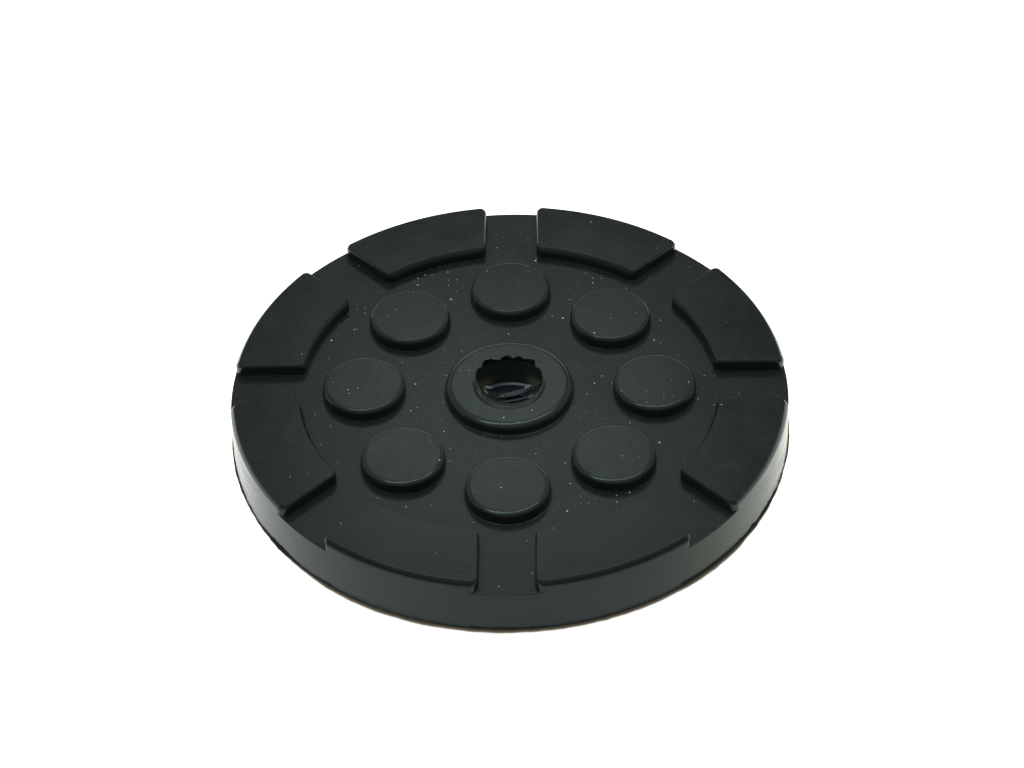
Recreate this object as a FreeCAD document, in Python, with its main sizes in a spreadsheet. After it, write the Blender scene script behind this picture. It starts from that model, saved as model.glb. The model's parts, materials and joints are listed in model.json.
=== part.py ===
"""Round rubber lifting pad: drafted disc, eight treads, eight studs, boss and screw recess."""
import FreeCAD, Part
import math
import os

import Sketcher

Vector = FreeCAD.Vector

NODE = "rubber_pad"

# Driving dimensions, in millimetres and degrees.
SIZES = [
    ("base_height", 12.0, "underside to the floor between the treads"),
    ("rim_radius", 72.5, "outside of the wall at the floor between the treads"),
    ("wall_draft", 1.25, "angle of the outer wall and of the treads' sides"),
    ("station_count", 8, "treads, and as many studs, each stud in line with a gap"),
    ("tread_height", 3.4, "treads above the floor"),
    ("tread_inner_radius", 53.9, "inner edge of a tread at its foot"),
    ("gap_width", 13.8, "parallel gap between two treads at the floor"),
    ("tread_outer_corner", 2.2, "upright corner at the rim"),
    ("tread_inner_corner", 2.0, "upright corner towards the middle"),
    ("tread_edge_radius", 1.5, "rounding of a tread's top edge"),
    ("stud_ring_radius", 37.8, "centres of the studs"),
    ("stud_foot_radius", 10.6, "a stud at the floor"),
    ("stud_height", 3.2, "studs above the floor"),
    ("stud_draft", 4.0, "angle of a stud's side"),
    ("stud_edge", 1.0, "bevel on a stud's top edge"),
    ("boss_foot_radius", 16.7, "central boss at the floor"),
    ("boss_height", 3.0, "boss above the floor"),
    ("boss_draft", 5.0, "angle of the boss's side"),
    ("boss_edge", 1.3, "bevel on the boss's top edge"),
    ("recess_radius", 10.8, "recess for the head of the fixing screw"),
    ("recess_floor", 5.0, "thickness left under the screw's head"),
    ("recess_corner", 0.9, "bevel at the foot of the recess's wall"),
    ("screw_hole_radius", 6.75, "clearance hole for the screw"),
    ("screw_hole_chamfer", 0.5, "chamfer on the hole's upper edge"),
    ("flash_drop", 0.3, "torn skin of flash below the top of the boss"),
    ("flash_thickness", 0.5, "thickness of that skin across the recess's mouth"),
    ("flash_reach", 3.2, "the skin's widest stretch, from the recess's wall inwards"),
    ("lip_reach", 0.4, "thin lip of flash at the foot of the wall"),
    ("lip_thickness", 0.3, "thickness of that lip"),
]

# The torn part of the skin's edge: direction in degrees, and the share of the skin left there.
# The rest of the edge is one arc, from the last direction round the front to the first.
TORN_EDGE = [
    (-40, 1.0), (-22, 0.84), (-8, 0.68), (8, 0.69), (20, 0.53), (34, 0.42), (43, 0.56), (47, 0.29),
    (53, 0.08), (60, 0.10), (68, 0.30), (76, 0.12), (84, 0.40), (93, 0.09), (99, 0.19), (106, 0.53),
    (112, 0.34), (119, 0.10), (128, 0.07), (134, 0.25), (140, 0.42), (147, 0.30), (158, 0.44), (172, 0.72),
    (190, 1.0),
]

doc = FreeCAD.newDocument("rubber_pad")
sheet = doc.addObject("Spreadsheet::Sheet", "Sizes")
for row, (name, value, note) in enumerate(SIZES, start=1):
    sheet.set("A%d" % row, name)
    sheet.set("B%d" % row, str(value))
    sheet.set("C%d" % row, note)
    sheet.setAlias("B%d" % row, name)
doc.recompute()

body = doc.addObject("PartDesign::Body", NODE)
body.Label = NODE

ORIGIN = (-1, 1)
START, END, CENTRE = 1, 2, 3


def size(name):
    """The sheet's value, for a sketch's starting geometry and for finding edges."""
    return float(getattr(sheet, name))


def polar(radius, degrees):
    """A point of a sketch from its distance and direction."""
    turn = math.radians(degrees)
    return Vector(radius * math.cos(turn), radius * math.sin(turn), 0)


def arc(centre, radius, first, last):
    """An arc that runs anticlockwise between two directions in degrees."""
    circle = Part.Circle(centre, Vector(0, 0, 1), radius)
    return Part.ArcOfCircle(circle, math.radians(first), math.radians(last))


def origin_item(role):
    """One of the body's own planes or axes."""
    return next(item for item in body.Origin.OriginFeatures if item.Role == role)


def new_sketch(name, role, turn=None, **offsets):
    """An empty sketch on an origin plane, turned and moved in its own axes by the sheet."""
    sketch = body.newObject("Sketcher::SketchObject", name)
    sketch.AttachmentSupport = [(origin_item(role), "")]
    sketch.MapMode = "FlatFace"
    if turn:
        sketch.AttachmentOffset = FreeCAD.Placement(Vector(), FreeCAD.Rotation(Vector(0, 0, 1), 1))
        sketch.setExpression("AttachmentOffset.Rotation.Angle", turn)
    for axis, text in offsets.items():
        sketch.setExpression("AttachmentOffset.Base." + axis, text)
    return sketch


def dimension(sketch, name, constraint, text):
    """Add a dimension to a sketch and tie it to the sheet."""
    index = sketch.addConstraint(constraint)
    sketch.renameConstraint(index, name)
    sketch.setExpression("Constraints." + name, text)


def polygon(sketch, points):
    """Lines through the points and back to the first, with their ends joined."""
    count = len(points)
    for index in range(count):
        sketch.addGeometry(Part.LineSegment(points[index], points[(index + 1) % count]))
    for index in range(count):
        sketch.addConstraint(Sketcher.Constraint("Coincident", index, END, (index + 1) % count, START))


def check(feature):
    """Recompute, and stop where a feature failed or left no valid solid."""
    doc.recompute()
    if "Invalid" in feature.State or "Error" in feature.State:
        raise RuntimeError("failed feature: " + feature.Name)
    if feature.Shape.isNull() or not feature.Shape.isValid():
        raise RuntimeError("no valid shape: " + feature.Name)
    return feature


def repeat(name, feature):
    """Copies of a feature round the pad's axis, one for each station."""
    pattern = body.newObject("PartDesign::PolarPattern", name)
    pattern.Originals = [feature]
    pattern.Axis = (origin_item("Z_Axis"), [""])
    pattern.Angle = 360
    pattern.setExpression("Occurrences", "Sizes.station_count")
    body.Tip = pattern
    return check(pattern)


def make_disc():
    """The drafted disc, with the thin lip of flash round its foot."""
    height = size("base_height")
    slope = math.tan(math.radians(size("wall_draft")))
    lip_top = size("lip_thickness")
    wall_foot = size("rim_radius") + (height - lip_top) * slope
    lip = wall_foot + size("lip_reach")
    sketch = new_sketch("DiscProfile", "XZ_Plane")
    polygon(sketch, [
        Vector(0, 0, 0),
        Vector(lip, 0, 0),
        Vector(lip, lip_top, 0),
        Vector(wall_foot, lip_top, 0),
        Vector(size("rim_radius"), height, 0),
        Vector(0, height, 0),
    ])
    under, lip_side, lip_face, wall, top, axis = range(6)
    sketch.addConstraint(Sketcher.Constraint("Coincident", under, START, *ORIGIN))
    for line in (under, lip_face, top):
        sketch.addConstraint(Sketcher.Constraint("Horizontal", line))
    for line in (lip_side, axis):
        sketch.addConstraint(Sketcher.Constraint("Vertical", line))
    dimension(sketch, "height", Sketcher.Constraint("DistanceY", *ORIGIN, wall, END, height),
              "Sizes.base_height")
    dimension(sketch, "rim", Sketcher.Constraint("DistanceX", *ORIGIN, wall, END, size("rim_radius")),
              "Sizes.rim_radius")
    dimension(sketch, "wall_run", Sketcher.Constraint("DistanceX", wall, END, wall, START,
                                                      wall_foot - size("rim_radius")),
              "(Sizes.base_height - Sizes.lip_thickness) * tan(Sizes.wall_draft * 1 deg)")
    dimension(sketch, "lip", Sketcher.Constraint("DistanceX", lip_face, END, lip_face, START,
                                                 size("lip_reach")), "Sizes.lip_reach")
    dimension(sketch, "lip_height", Sketcher.Constraint("DistanceY", lip_side, START, lip_side, END, lip_top),
              "Sizes.lip_thickness")
    disc = body.newObject("PartDesign::Revolution", "Disc")
    disc.Profile = sketch
    disc.ReferenceAxis = (sketch, ["V_Axis"])
    disc.Angle = 360
    return check(disc)


def make_treads():
    """One tread between two gaps, flush with the wall, and its copies."""
    outer, inner = size("rim_radius"), size("tread_inner_radius")
    corner, nook = size("tread_outer_corner"), size("tread_inner_corner")
    offset = size("gap_width") / 2
    half = 180 / size("station_count")
    along = polar(1, half)
    across = Vector(along.y, -along.x, 0)

    def at(run, away):
        return along * run + across * away

    outer_run = math.sqrt((outer - corner) ** 2 - (offset + corner) ** 2)
    inner_run = math.sqrt((inner + nook) ** 2 - (offset + nook) ** 2)
    outer_centre, inner_centre = at(outer_run, offset + corner), at(inner_run, offset + nook)
    outer_turn = math.degrees(math.atan2(outer_centre.y, outer_centre.x))
    inner_turn = math.degrees(math.atan2(inner_centre.y, inner_centre.x))
    side = (at(inner_run, offset), at(outer_run, offset))

    def mirrored(point):
        return Vector(point.x, -point.y, 0)

    sketch = new_sketch("TreadOutline", "XY_Plane", turn="180 / Sizes.station_count", z="Sizes.base_height")
    sketch.addGeometry([
        arc(Vector(), outer, -outer_turn, outer_turn),
        arc(outer_centre, corner, outer_turn, half + 90),
        Part.LineSegment(*side),
        arc(inner_centre, nook, half + 90, inner_turn + 180),
        arc(Vector(), inner, -inner_turn, inner_turn),
        arc(mirrored(inner_centre), nook, 180 - inner_turn, 270 - half),
        Part.LineSegment(mirrored(side[0]), mirrored(side[1])),
        arc(mirrored(outer_centre), corner, -half - 90, -outer_turn),
    ])
    rim, upper_corner, upper_side, upper_nook, back, lower_nook, lower_side, lower_corner = range(8)
    for first, last in (
        ((rim, END), (upper_corner, START)),
        ((upper_corner, END), (upper_side, END)),
        ((upper_side, START), (upper_nook, START)),
        ((upper_nook, END), (back, END)),
        ((back, START), (lower_nook, START)),
        ((lower_nook, END), (lower_side, START)),
        ((lower_side, END), (lower_corner, START)),
        ((lower_corner, END), (rim, START)),
    ):
        sketch.addConstraint(Sketcher.Constraint("Tangent", *first, *last))
    for curve in (rim, back):
        sketch.addConstraint(Sketcher.Constraint("Coincident", curve, CENTRE, *ORIGIN))
    for name, curve, text in (
        ("rim", rim, "Sizes.rim_radius"),
        ("back", back, "Sizes.tread_inner_radius"),
        ("upper_corner", upper_corner, "Sizes.tread_outer_corner"),
        ("lower_corner", lower_corner, "Sizes.tread_outer_corner"),
        ("upper_nook", upper_nook, "Sizes.tread_inner_corner"),
        ("lower_nook", lower_nook, "Sizes.tread_inner_corner"),
    ):
        radius = sketch.Geometry[curve].Radius
        dimension(sketch, name, Sketcher.Constraint("Radius", curve, radius), text)
    for name, line, sign in (("upper", upper_side, ""), ("lower", lower_side, "-")):
        turn = math.radians(half if line == upper_side else -half)
        dimension(sketch, name + "_turn", Sketcher.Constraint("Angle", line, turn),
                  sign + "180 deg / Sizes.station_count")
        dimension(sketch, name + "_gap", Sketcher.Constraint("Distance", *ORIGIN, line, offset),
                  "Sizes.gap_width / 2")
    tread = body.newObject("PartDesign::Pad", "Tread")
    tread.Profile = sketch
    tread.setExpression("Length", "Sizes.tread_height")
    tread.setExpression("TaperAngle", "-Sizes.wall_draft")
    check(tread)
    return repeat("Treads", tread)


def make_round(name, foot_name, height_name, draft_name, edge_name, centre):
    """A drafted round raised from the floor, with a bevel on its top edge."""
    foot, height, edge = size(foot_name), size(height_name), size(edge_name)
    lean = math.tan(math.radians(size(draft_name)))
    shoulder = foot - (height - edge) * lean
    sketch = new_sketch(name + "Profile", "XZ_Plane", x=centre, y="Sizes.base_height")
    polygon(sketch, [
        Vector(0, 0, 0),
        Vector(foot, 0, 0),
        Vector(shoulder, height - edge, 0),
        Vector(shoulder - edge, height, 0),
        Vector(0, height, 0),
    ])
    under, side, bevel, top, axis = range(5)
    sketch.addConstraint(Sketcher.Constraint("Coincident", under, START, *ORIGIN))
    for line in (under, top):
        sketch.addConstraint(Sketcher.Constraint("Horizontal", line))
    sketch.addConstraint(Sketcher.Constraint("Vertical", axis))
    rise = "Sizes.%s - Sizes.%s" % (height_name, edge_name)
    for label, kind, ends, value, text in (
        ("foot", "DistanceX", (under, START, under, END), foot, "Sizes." + foot_name),
        ("rise", "DistanceY", (side, START, side, END), height - edge, rise),
        ("lean", "DistanceX", (side, END, side, START), foot - shoulder,
         "(%s) * tan(Sizes.%s * 1 deg)" % (rise, draft_name)),
        ("edge_run", "DistanceX", (bevel, END, bevel, START), edge, "Sizes." + edge_name),
        ("edge_rise", "DistanceY", (bevel, START, bevel, END), edge, "Sizes." + edge_name),
    ):
        dimension(sketch, label, Sketcher.Constraint(kind, *ends, value), text)
    turned = body.newObject("PartDesign::Revolution", name)
    turned.Profile = sketch
    turned.ReferenceAxis = (sketch, ["V_Axis"])
    turned.Angle = 360
    return check(turned)


def cut_recess():
    """The screw's hole and the recess for its head, closed above by the skin of flash."""
    below = 1.0
    hole, chamfer = size("screw_hole_radius"), size("screw_hole_chamfer")
    floor, wall, corner = size("recess_floor"), size("recess_radius"), size("recess_corner")
    ceiling = size("base_height") + size("boss_height") - size("flash_drop") - size("flash_thickness")
    sketch = new_sketch("RecessProfile", "XZ_Plane")
    polygon(sketch, [
        Vector(0, -below, 0),
        Vector(hole, -below, 0),
        Vector(hole, floor - chamfer, 0),
        Vector(hole + chamfer, floor, 0),
        Vector(wall - corner, floor, 0),
        Vector(wall, floor + corner, 0),
        Vector(wall, ceiling, 0),
        Vector(0, ceiling, 0),
    ])
    bottom, bore, bevel, ledge, bend, side, roof, axis = range(8)
    sketch.addConstraint(Sketcher.Constraint("PointOnObject", axis, END, -2))
    for line in (bottom, ledge, roof):
        sketch.addConstraint(Sketcher.Constraint("Horizontal", line))
    for line in (bore, side, axis):
        sketch.addConstraint(Sketcher.Constraint("Vertical", line))
    sketch.addConstraint(Sketcher.Constraint("DistanceY", bottom, START, *ORIGIN, below))
    for name, kind, ends, value, text in (
        ("hole", "DistanceX", (axis, END, bottom, END), hole, "Sizes.screw_hole_radius"),
        ("bevel_run", "DistanceX", (bevel, START, bevel, END), chamfer, "Sizes.screw_hole_chamfer"),
        ("bevel_rise", "DistanceY", (bevel, START, bevel, END), chamfer, "Sizes.screw_hole_chamfer"),
        ("bend_run", "DistanceX", (bend, START, bend, END), corner, "Sizes.recess_corner"),
        ("bend_rise", "DistanceY", (bend, START, bend, END), corner, "Sizes.recess_corner"),
        ("wall", "DistanceX", (axis, START, side, END), wall, "Sizes.recess_radius"),
        ("floor", "DistanceY", (*ORIGIN, ledge, START), floor, "Sizes.recess_floor"),
        ("roof", "DistanceY", (*ORIGIN, roof, END), ceiling,
         "Sizes.base_height + Sizes.boss_height - Sizes.flash_drop - Sizes.flash_thickness"),
    ):
        dimension(sketch, name, Sketcher.Constraint(kind, *ends, value), text)
    recess = body.newObject("PartDesign::Groove", "Recess")
    recess.Profile = sketch
    recess.ReferenceAxis = (sketch, ["V_Axis"])
    recess.Angle = 360
    return check(recess)


def sink_mouth():
    """The small step from the top of the boss down to the skin."""
    sketch = new_sketch("MouthOutline", "XY_Plane", z="Sizes.base_height + Sizes.boss_height")
    sketch.addGeometry(Part.Circle(Vector(), Vector(0, 0, 1), size("recess_radius")))
    sketch.addConstraint(Sketcher.Constraint("Coincident", 0, CENTRE, *ORIGIN))
    dimension(sketch, "mouth", Sketcher.Constraint("Radius", 0, size("recess_radius")), "Sizes.recess_radius")
    mouth = body.newObject("PartDesign::Pocket", "Mouth")
    mouth.Profile = sketch
    mouth.setExpression("Length", "Sizes.flash_drop")
    return check(mouth)


def tear_skin():
    """The ragged opening through the skin: straight tears at the back, one arc at the front."""
    wall, reach = size("recess_radius"), size("flash_reach")
    points = [polar(wall - left * reach, turn) for turn, left in TORN_EDGE]
    tears = len(points) - 1
    sketch = new_sketch("TornOutline", "XY_Plane", z="Sizes.base_height + Sizes.boss_height")
    for index in range(tears):
        sketch.addGeometry(Part.LineSegment(points[index], points[index + 1]))
    sketch.addGeometry(arc(Vector(), wall - reach, TORN_EDGE[-1][0], TORN_EDGE[0][0] + 360))
    front = tears
    for index in range(tears - 1):
        sketch.addConstraint(Sketcher.Constraint("Coincident", index, END, index + 1, START))
    sketch.addConstraint(Sketcher.Constraint("Coincident", tears - 1, END, front, START))
    sketch.addConstraint(Sketcher.Constraint("Coincident", front, END, 0, START))
    sketch.addConstraint(Sketcher.Constraint("Coincident", front, CENTRE, *ORIGIN))
    dimension(sketch, "front", Sketcher.Constraint("Radius", front, wall - reach),
              "Sizes.recess_radius - Sizes.flash_reach")
    for index, (turn, left) in enumerate(TORN_EDGE):
        end = (index, START) if index < tears else (tears - 1, END)
        ray = sketch.addGeometry(Part.LineSegment(Vector(), points[index]), True)
        sketch.addConstraint(Sketcher.Constraint("Coincident", ray, START, *ORIGIN))
        sketch.addConstraint(Sketcher.Constraint("Coincident", ray, END, *end))
        sketch.addConstraint(Sketcher.Constraint("Angle", ray, math.radians(turn)))
        if 0 < index < tears:
            dimension(sketch, "tear_%d" % index, Sketcher.Constraint("Distance", ray, wall - left * reach),
                      "Sizes.recess_radius - %g * Sizes.flash_reach" % left)
    opening = body.newObject("PartDesign::Pocket", "TornOpening")
    opening.Profile = sketch
    opening.setExpression("Length", "Sizes.flash_drop + Sizes.flash_thickness")
    return check(opening)


def round_treads():
    """The rounded top edges of the treads."""
    treads = body.Tip
    level = size("base_height") + size("tread_height")
    tolerance = 1e-4
    names = [
        "Edge%d" % index
        for index, edge in enumerate(treads.Shape.Edges, start=1)
        if abs(edge.BoundBox.ZMin - level) < tolerance and abs(edge.BoundBox.ZMax - level) < tolerance
    ]
    fillet = body.newObject("PartDesign::Fillet", "TreadEdges")
    fillet.Base = (treads, names)
    fillet.setExpression("Radius", "Sizes.tread_edge_radius")
    return check(fillet)


make_disc()
make_treads()
round_treads()
stud = make_round("Stud", "stud_foot_radius", "stud_height", "stud_draft", "stud_edge",
                  "Sizes.stud_ring_radius")
repeat("Studs", stud)
make_round("Boss", "boss_foot_radius", "boss_height", "boss_draft", "boss_edge", "0")
cut_recess()
sink_mouth()
tear_skin()

doc.recompute()
for item in doc.Objects:
    if "Invalid" in item.State or "Error" in item.State:
        raise RuntimeError("failed: " + item.Name)
pad = body.Shape
if pad.isNull() or not pad.isValid() or len(pad.Solids) != 1:
    raise RuntimeError("the pad is not one valid solid")
os.makedirs("parts", exist_ok=True)
pad.exportStep(os.path.join("parts", NODE + ".step"))
print(NODE, "volume %.1f" % pad.Volume, "box", pad.BoundBox)
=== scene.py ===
import json
import math
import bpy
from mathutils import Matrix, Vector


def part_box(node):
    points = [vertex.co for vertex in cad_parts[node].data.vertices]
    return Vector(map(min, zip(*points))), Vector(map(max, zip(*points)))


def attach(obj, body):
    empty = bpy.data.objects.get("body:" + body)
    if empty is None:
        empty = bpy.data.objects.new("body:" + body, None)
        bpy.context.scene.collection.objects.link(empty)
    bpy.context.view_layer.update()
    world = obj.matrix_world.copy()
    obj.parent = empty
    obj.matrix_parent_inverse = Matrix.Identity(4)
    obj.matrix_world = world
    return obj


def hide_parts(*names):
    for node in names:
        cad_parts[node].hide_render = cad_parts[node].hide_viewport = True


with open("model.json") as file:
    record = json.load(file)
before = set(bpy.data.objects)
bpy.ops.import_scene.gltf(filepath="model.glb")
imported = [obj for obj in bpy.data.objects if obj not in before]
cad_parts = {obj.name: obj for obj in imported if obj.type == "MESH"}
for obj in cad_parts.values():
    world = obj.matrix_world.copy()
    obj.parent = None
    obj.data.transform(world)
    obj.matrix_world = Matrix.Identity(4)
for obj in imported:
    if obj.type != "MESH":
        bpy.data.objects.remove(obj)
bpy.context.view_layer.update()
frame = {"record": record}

from types import SimpleNamespace

import bmesh
import bpy
from mathutils import Matrix, Vector, noise

# Lengths are in millimetres up to the point where a vertex is made, angles in degrees.
# The frame gives the height and the screw's hole. The other sizes are the solid's own values, apart
# from the studs' spread, the seam, the films and the wear, which follow the photograph more closely.
MM = 0.001
NODE = "rubber_pad"
TREAD_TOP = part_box(NODE)[1].z / MM
SCREW_HOLE_RADIUS = next(
    mount["dims"]["r_mm"] for mount in frame["record"]["mounts"] if mount["name"] == "screw_hole"
)

BASE_HEIGHT = 12.0
RIM_RADIUS = 72.5
RIM_EASING = 0.3
WALL_DRAFT = 1.25
WALL_LEVELS = (1.0, 3.5, 6.0, 8.5, 11.0)
STATIONS = 8
STATION_TURN = 360 / STATIONS

TREAD_INNER_RADIUS = 53.9
FLANK_EDGE = 0.42
TREAD_OUTER_CORNER = 2.2
TREAD_INNER_CORNER = 2.0
GAP_WIDTH = 13.8
ROOM_SHARE = 0.45
TREAD_LEVEL = 12.9
FOOT_FILLET = 0.05

STUD_RING_RADIUS = 37.8
STUD_FOOT_RADIUS = 10.6
STUD_SPREAD = 0.25
STUD_TOP = BASE_HEIGHT + 3.2
STUD_DRAFT = 4.0
FRONT_STUD = 6

BOSS_FOOT_RADIUS = 16.7
BOSS_TOP = BASE_HEIGHT + 3.0
BOSS_DRAFT = 5.0
BOSS_MIDWAY = 12.6

# The bead of flash round a foot, and its profile: share of its width, and share of its height.
BEAD_GAP = 0.1
BEAD_WIDTH = 0.22
BEAD_HEIGHT = 0.05
BEAD_PROFILE = [(1.0, 0.0), (0.7, 0.8), (0.5, 1.0), (0.3, 0.8), (0.0, 0.0)]

RECESS_RADIUS = 10.8
RECESS_FLOOR = 5.0
LEDGE_SLOPE = [(10.8, 6.0), (10.7, 5.6), (10.5, 5.35), (10.3, 5.25), (9.95, 5.1), (9.7, 5.0)]
RECESS_MIDWAY = 9.0
HOLE_CHAMFER = 0.25

# The torn skin over the recess. Its jags are slight where the skin is whole, and its tips curl up.
FLASH_DROP = 0.3
FLASH_THICKNESS = 0.5
FLASH_REACH = 3.2
WHOLE_SKIN = 0.98
TORN_JAG = 0.16
WHOLE_JAG = 0.05
TIP_CURL = 0.22
TORN_ROUNDING = [(0.18, 0.0), (0.0, 0.07), (-0.06, 0.22)]
UNDERSIDE_BEVEL = (0.04, 0.12)
CEILING_GAP = 0.1
CEILING_SAG = 0.2
CEILING_CORNER = 1.2

# The seam round the skin. Its profile has the distance from the seam's circle, the least distance from
# the torn edge, and the depth as a multiple of how far the skin lies below the boss.
SEAM_RADIUS = 9.1
SEAM_SHIFT = 0.7
SEAM_DEPTH = 0.15
SEAM_FADE = 1.2
SEAM_PROFILE = [(0.55, 0.6, 0.0), (0.2, 0.4, 0.12), (0.0, 0.3, 3.4), (-0.16, 0.25, 1.3), (-0.35, 0.2, 1.0)]

# The worn edges, from the side up to the top: first and last lean of the surface, radius and steps.
TREAD_EDGE = [(90, 66, 1.2, 4), (66, 44, 3.9, 5), (44, 0, 0.20, 4)]
FRONT_STUD_EDGE = [(86, 35, 1.15, 6), (35, 0, 1.6, 7)]
BACK_STUD_EDGE = [(86, 35, 1.9, 6), (35, 0, 0.6, 7)]
BOSS_EDGE = [(85, 35, 1.7, 6), (35, 0, 2.0, 7)]

# The torn edge of the skin over the recess: direction, and the share of the skin left there.
TORN_EDGE = [
    (-40, 0.83), (-18, 0.82), (-8, 0.70), (8, 0.68), (20, 0.53), (34, 0.42), (43, 0.56), (47, 0.29),
    (53, 0.0), (60, 0.05), (68, 0.30), (76, 0.08), (84, 0.40), (93, 0.05), (99, 0.17), (106, 0.53),
    (112, 0.34), (119, 0.05), (128, -0.06), (134, 0.22), (140, 0.42), (147, 0.30), (158, 0.46), (170, 0.63),
    (177, 0.80), (200, 0.94), (221, 0.95), (241, 0.98), (268, 1.02), (296, 0.93), (320, 0.83),
]

# The film of flash at the foot of the wall: direction, and how far it stands out. Its profile has the
# share of that reach, and the height.
FOOT_EDGE = [
    (-180, 0.30), (-165, 0.34), (-151, 0.22), (-147, 0.34), (-144, 0.56), (-141, 0.60), (-138.5, 0.46),
    (-136, 0.26), (-128, 0.18), (-110, 0.22), (-90, 0.20), (-70, 0.22), (-56, 0.20), (-51, 0.32),
    (-44, 0.36), (-37.2, 0.34), (-36.4, 0.64), (-35.6, 0.30), (-33, 0.42), (-31.2, 0.64), (-30.6, 0.26),
    (-27, 0.44), (-23, 0.36), (-19, 0.26), (0, 0.28), (14, 0.12), (166, 0.12), (180, 0.30),
]
FOOT_PROFILE = [(0.45, 0.2), (1.0, 0.14), (1.0, 0.0)]
LEAST_FILM = 0.06
LIP_THICKNESS = 0.3

# Rags of the torn skin that still hang in the mouth: points with the half width at each, then the
# slope across in degrees.
RAGS = {
    "torn_rag": ([
        (-3.4, -4.7, 13.9, 0.15), (-2.1, -3.9, 13.75, 0.42), (-0.2, -3.1, 13.6, 0.74),
        (1.7, -2.4, 13.55, 0.85), (3.5, -1.7, 13.6, 0.74), (4.8, -1.0, 13.7, 0.50),
        (6.1, -0.3, 13.85, 0.30), (8.2, 0.8, 14.1, 0.12),
    ], 3),
    "torn_band": ([
        (-1.8, -6.2, 13.9, 0.15), (-0.3, -5.7, 13.8, 0.30), (1.5, -5.4, 13.8, 0.36),
        (3.2, -5.0, 13.85, 0.36), (4.7, -4.4, 13.9, 0.30), (6.3, -3.3, 14.1, 0.15),
    ], 4),
    "torn_curl_left": ([
        (-6.4, -0.9, 14.3, 0.12), (-5.9, -0.85, 14.3, 0.34), (-5.0, -0.95, 14.25, 0.28),
        (-4.2, -1.1, 14.2, 0.06),
    ], 24),
    "torn_curl_down": ([
        (-6.6, -1.3, 14.3, 0.10), (-6.25, -1.8, 14.02, 0.26), (-5.9, -2.35, 13.78, 0.20),
        (-5.65, -2.8, 13.58, 0.05),
    ], 14),
    "torn_curl_right": ([
        (3.9, -1.0, 13.85, 0.10), (4.5, -0.7, 14.0, 0.34), (5.1, -0.35, 14.1, 0.34),
        (5.7, 0.0, 14.2, 0.12),
    ], 20),
    "torn_curl_front": ([
        (5.0, -4.8, 14.1, 0.10), (5.5, -4.6, 14.15, 0.26), (6.0, -4.3, 14.2, 0.24),
        (6.6, -4.0, 14.25, 0.08),
    ], 22),
}

# The broken skin behind them, which is matt and lies in the shade of the mouth; that shade is painted into
# its darker colour.
FLAPS = {
    "torn_flap_left": ([
        (-8.4, -0.2, 14.0, 0.3), (-6.7, -1.4, 13.5, 1.3), (-5.0, -2.8, 13.1, 2.0),
        (-3.0, -4.4, 13.1, 1.9), (-1.3, -5.5, 13.2, 1.2), (-0.2, -6.3, 13.4, 0.3),
    ], -11),
    "torn_flap_right": ([
        (4.2, -5.0, 13.5, 0.3), (5.6, -3.8, 13.5, 1.0), (6.6, -2.6, 13.55, 1.3),
        (7.5, -1.2, 13.7, 1.0), (8.4, 0.6, 13.9, 0.2),
    ], -8),
}
RAG_THICKNESS = 0.3

# Colours in linear light.
RUBBER_DARK = (0.0115, 0.0155, 0.0140, 1)
RUBBER_LIGHT = (0.0145, 0.0190, 0.0170, 1)
SPECKLE_DARK = (0.006, 0.008, 0.006, 1)
SPECKLE_LIGHT = (0.030, 0.038, 0.036, 1)
DIRT_COOL = (0.050, 0.075, 0.090, 1)
DIRT_WARM = (0.095, 0.090, 0.060, 1)
SCUFF = (0.050, 0.054, 0.050, 1)
# Bluish dark for the recess's ledge and hole, and a lighter grey for its sides.
RECESS_LEDGE_TONE = (0.012, 0.018, 0.028, 1)
RECESS_SIDE_TONE = (0.040, 0.053, 0.043, 1)
# Painted olive glow of reflected light on the recess's sides.
PAINTED_OLIVE_GLOW = (0.21, 0.23, 0.13, 1)
# Painted highlight on the ledge behind the hole.
PAINTED_LEDGE_GLINT = (0.085, 0.115, 0.15, 1)
LINT = (0.95, 0.98, 1.0, 1)
# Painted shade: the darker colours of the broken flaps in the mouth.
SHADED_FLAP_DARK = (0.004, 0.007, 0.004, 1)
SHADED_FLAP_LIGHT = (0.017, 0.024, 0.015, 1)
# Painted tints of the rubber's reflections: cool, and olive in patches on the floor.
REFLECTION_TINT_COOL = (0.74, 1.0, 0.98, 1)
REFLECTION_TINT_OLIVE = (0.77, 1.0, 0.90, 1)
WHITE = (1.0, 1.0, 1.0, 1)
FLOOR_PAPER = (0.85, 0.85, 0.85, 1)
FLOOR_SOFT = (0.05, 0.05, 0.05, 1)
# Painted shade on the floor under the pad, seen through the screw's hole.
FLOOR_SHADE_UNDER_PAD = (0.01, 0.01, 0.01, 1)
# Painted warm tint that only the rubber's reflections see in the floor.
MIRRORED_FLOOR_TINT = (0.98, 1.0, 0.92, 1)

# The brown shade on the floor next to the film of flash, which reflections see starting further in.
# Its colours come with their places in its width.
SHADE_START = 72.85
SHADE_WIDTH = 1.5
MIRRORED_SHIFT = 0.5
FOOT_SHADE = [
    (0.10, (0.028, 0.025, 0.018, 1)), (0.42, (0.060, 0.049, 0.032, 1)), (0.70, (0.22, 0.18, 0.12, 1)),
    (0.92, WHITE),
]

# How finely the skin is divided.
RIM_STEPS = 72
GAP_STEPS = 20
CORNER_STEPS = 8
SIDE_STEPS = 16
BACK_STEPS = 28
EDGE_STEPS = 7
FOOT_STEPS = 3
STUD_STEPS = 96
BOSS_STEPS = 300


def heading(degrees):
    """The unit vector in the floor's plane at a direction."""
    turn = math.radians(degrees)
    return Vector((math.cos(turn), math.sin(turn)))


def clamp(value, low=0.0, high=1.0):
    return max(low, min(high, value))


def blend(first, last, share):
    return first + (last - first) * share


def wall_radius(height):
    """The drafted outer wall, which the treads carry on above the floor."""
    return RIM_RADIUS + (BASE_HEIGHT - height) * math.tan(math.radians(WALL_DRAFT))


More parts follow.
